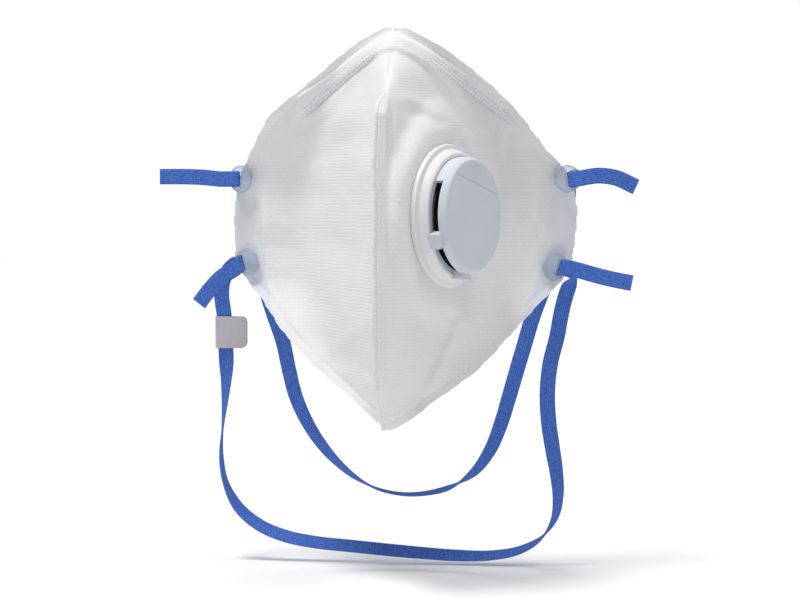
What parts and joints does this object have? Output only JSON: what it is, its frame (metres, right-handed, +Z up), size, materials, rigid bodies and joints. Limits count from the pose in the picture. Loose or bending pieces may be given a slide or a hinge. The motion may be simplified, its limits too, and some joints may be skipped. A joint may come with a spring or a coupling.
{
  "type": "disposable dust mask",
  "caption": "Flat-fold dust mask with a welded front seam, a nose clip pocket, a round exhalation valve and elastic head and neck straps in slotted buckles.",
  "frame": {"origin": "middle of the face opening, level with the cheeks", "axes": "+Z up, +Y towards the wearer's face, +X to the wearer's left, which is the viewer's right from the front"},
  "size_m": [0.1954, 0.1005, 0.2162],
  "materials": {
    "cover_fabric": "ribbed spunbond nonwoven, matt with a faint sheen",
    "support_fabric": "coarse open nonwoven",
    "filter_media": "soft melt-blown fibre web",
    "lining_fabric": "smooth soft nonwoven",
    "clip_metal": "plain rolled strip",
    "foam": "open-cell soft foam",
    "valve_plastic": "white moulded plastic, satin to gloss",
    "flap_rubber": "thin black rubber",
    "buckle_plastic": "translucent moulded plastic",
    "elastic": "knitted flat elastic",
    "tag_paper": "folded satin label"
  },
  "bodies": {
    "mask_body": {"outer_cover": "cover_fabric", "support_layer": "support_fabric", "filter_layer_front": "filter_media", "filter_layer_back": "filter_media", "inner_lining": "lining_fabric", "nose_clip": "clip_metal", "nose_foam": "foam"},
    "valve_body": {"valve_base": "valve_plastic", "valve_cover": "valve_plastic", "valve_inner_ring": "valve_plastic"},
    "valve_flap": {"valve_diaphragm": "flap_rubber"},
    "left_cheek": {"strap_buckle_upper_left": "buckle_plastic", "strap_buckle_lower_left": "buckle_plastic", "head_strap_left_end": "elastic", "neck_strap_left_end": "elastic"},
    "right_cheek": {"strap_buckle_upper_right": "buckle_plastic", "strap_buckle_lower_right": "buckle_plastic", "head_strap_right_end": "elastic", "neck_strap_right_end": "elastic"},
    "head_loop": {"head_strap": "elastic"},
    "neck_loop": {"neck_strap": "elastic", "strap_tag": "tag_paper"}
  },
  "joints": [
    {"name": "mask_fold", "type": "hinge", "parent": "mask_body", "child": "valve_body", "pos_m": [0.01208, -0.09212, 0], "axis": [0, 0, 1], "range_deg": [0, 22], "deforming": ["outer_cover", "support_layer", "filter_layer_front", "filter_layer_back", "inner_lining", "nose_clip", "nose_foam", "head_strap", "neck_strap"]},
    {"name": "left_cheek_fold", "type": "hinge", "parent": "mask_body", "child": "left_cheek", "pos_m": [-0.03852, -0.1033, 0], "axis": [0, 0, 1], "range_deg": [-32.5, 0.5]},
    {"name": "right_cheek_fold", "type": "hinge", "parent": "mask_body", "child": "right_cheek", "pos_m": [0.03766, -0.10108, 0], "axis": [0, 0, 1], "range_deg": [-0.5, 32.5]},
    {"name": "valve_flap_open", "type": "hinge", "parent": "valve_body", "child": "valve_flap", "pos_m": [0.02401, -0.04643, 0.0184], "axis": [-0.4381, -0.8947, 0.0871], "range_deg": [0, 12], "stiffness_Nm_per_rad": 0.0002, "springref_deg": -28.65},
    {"name": "head_strap_swing", "type": "hinge", "parent": "mask_body", "child": "head_loop", "pos_m": [0, 0, 0.02], "axis": [1, 0, 0], "range_deg": [0, 110]},
    {"name": "neck_strap_swing", "type": "hinge", "parent": "mask_body", "child": "neck_loop", "pos_m": [0, 0, -0.016], "axis": [1, 0, 0], "range_deg": [0, 75]}
  ],
  "couplings": [
    {"joint": "left_cheek_fold", "follows": "mask_fold", "ratio": -1.4546},
    {"joint": "right_cheek_fold", "follows": "mask_fold", "ratio": 1.4546}
  ]
}
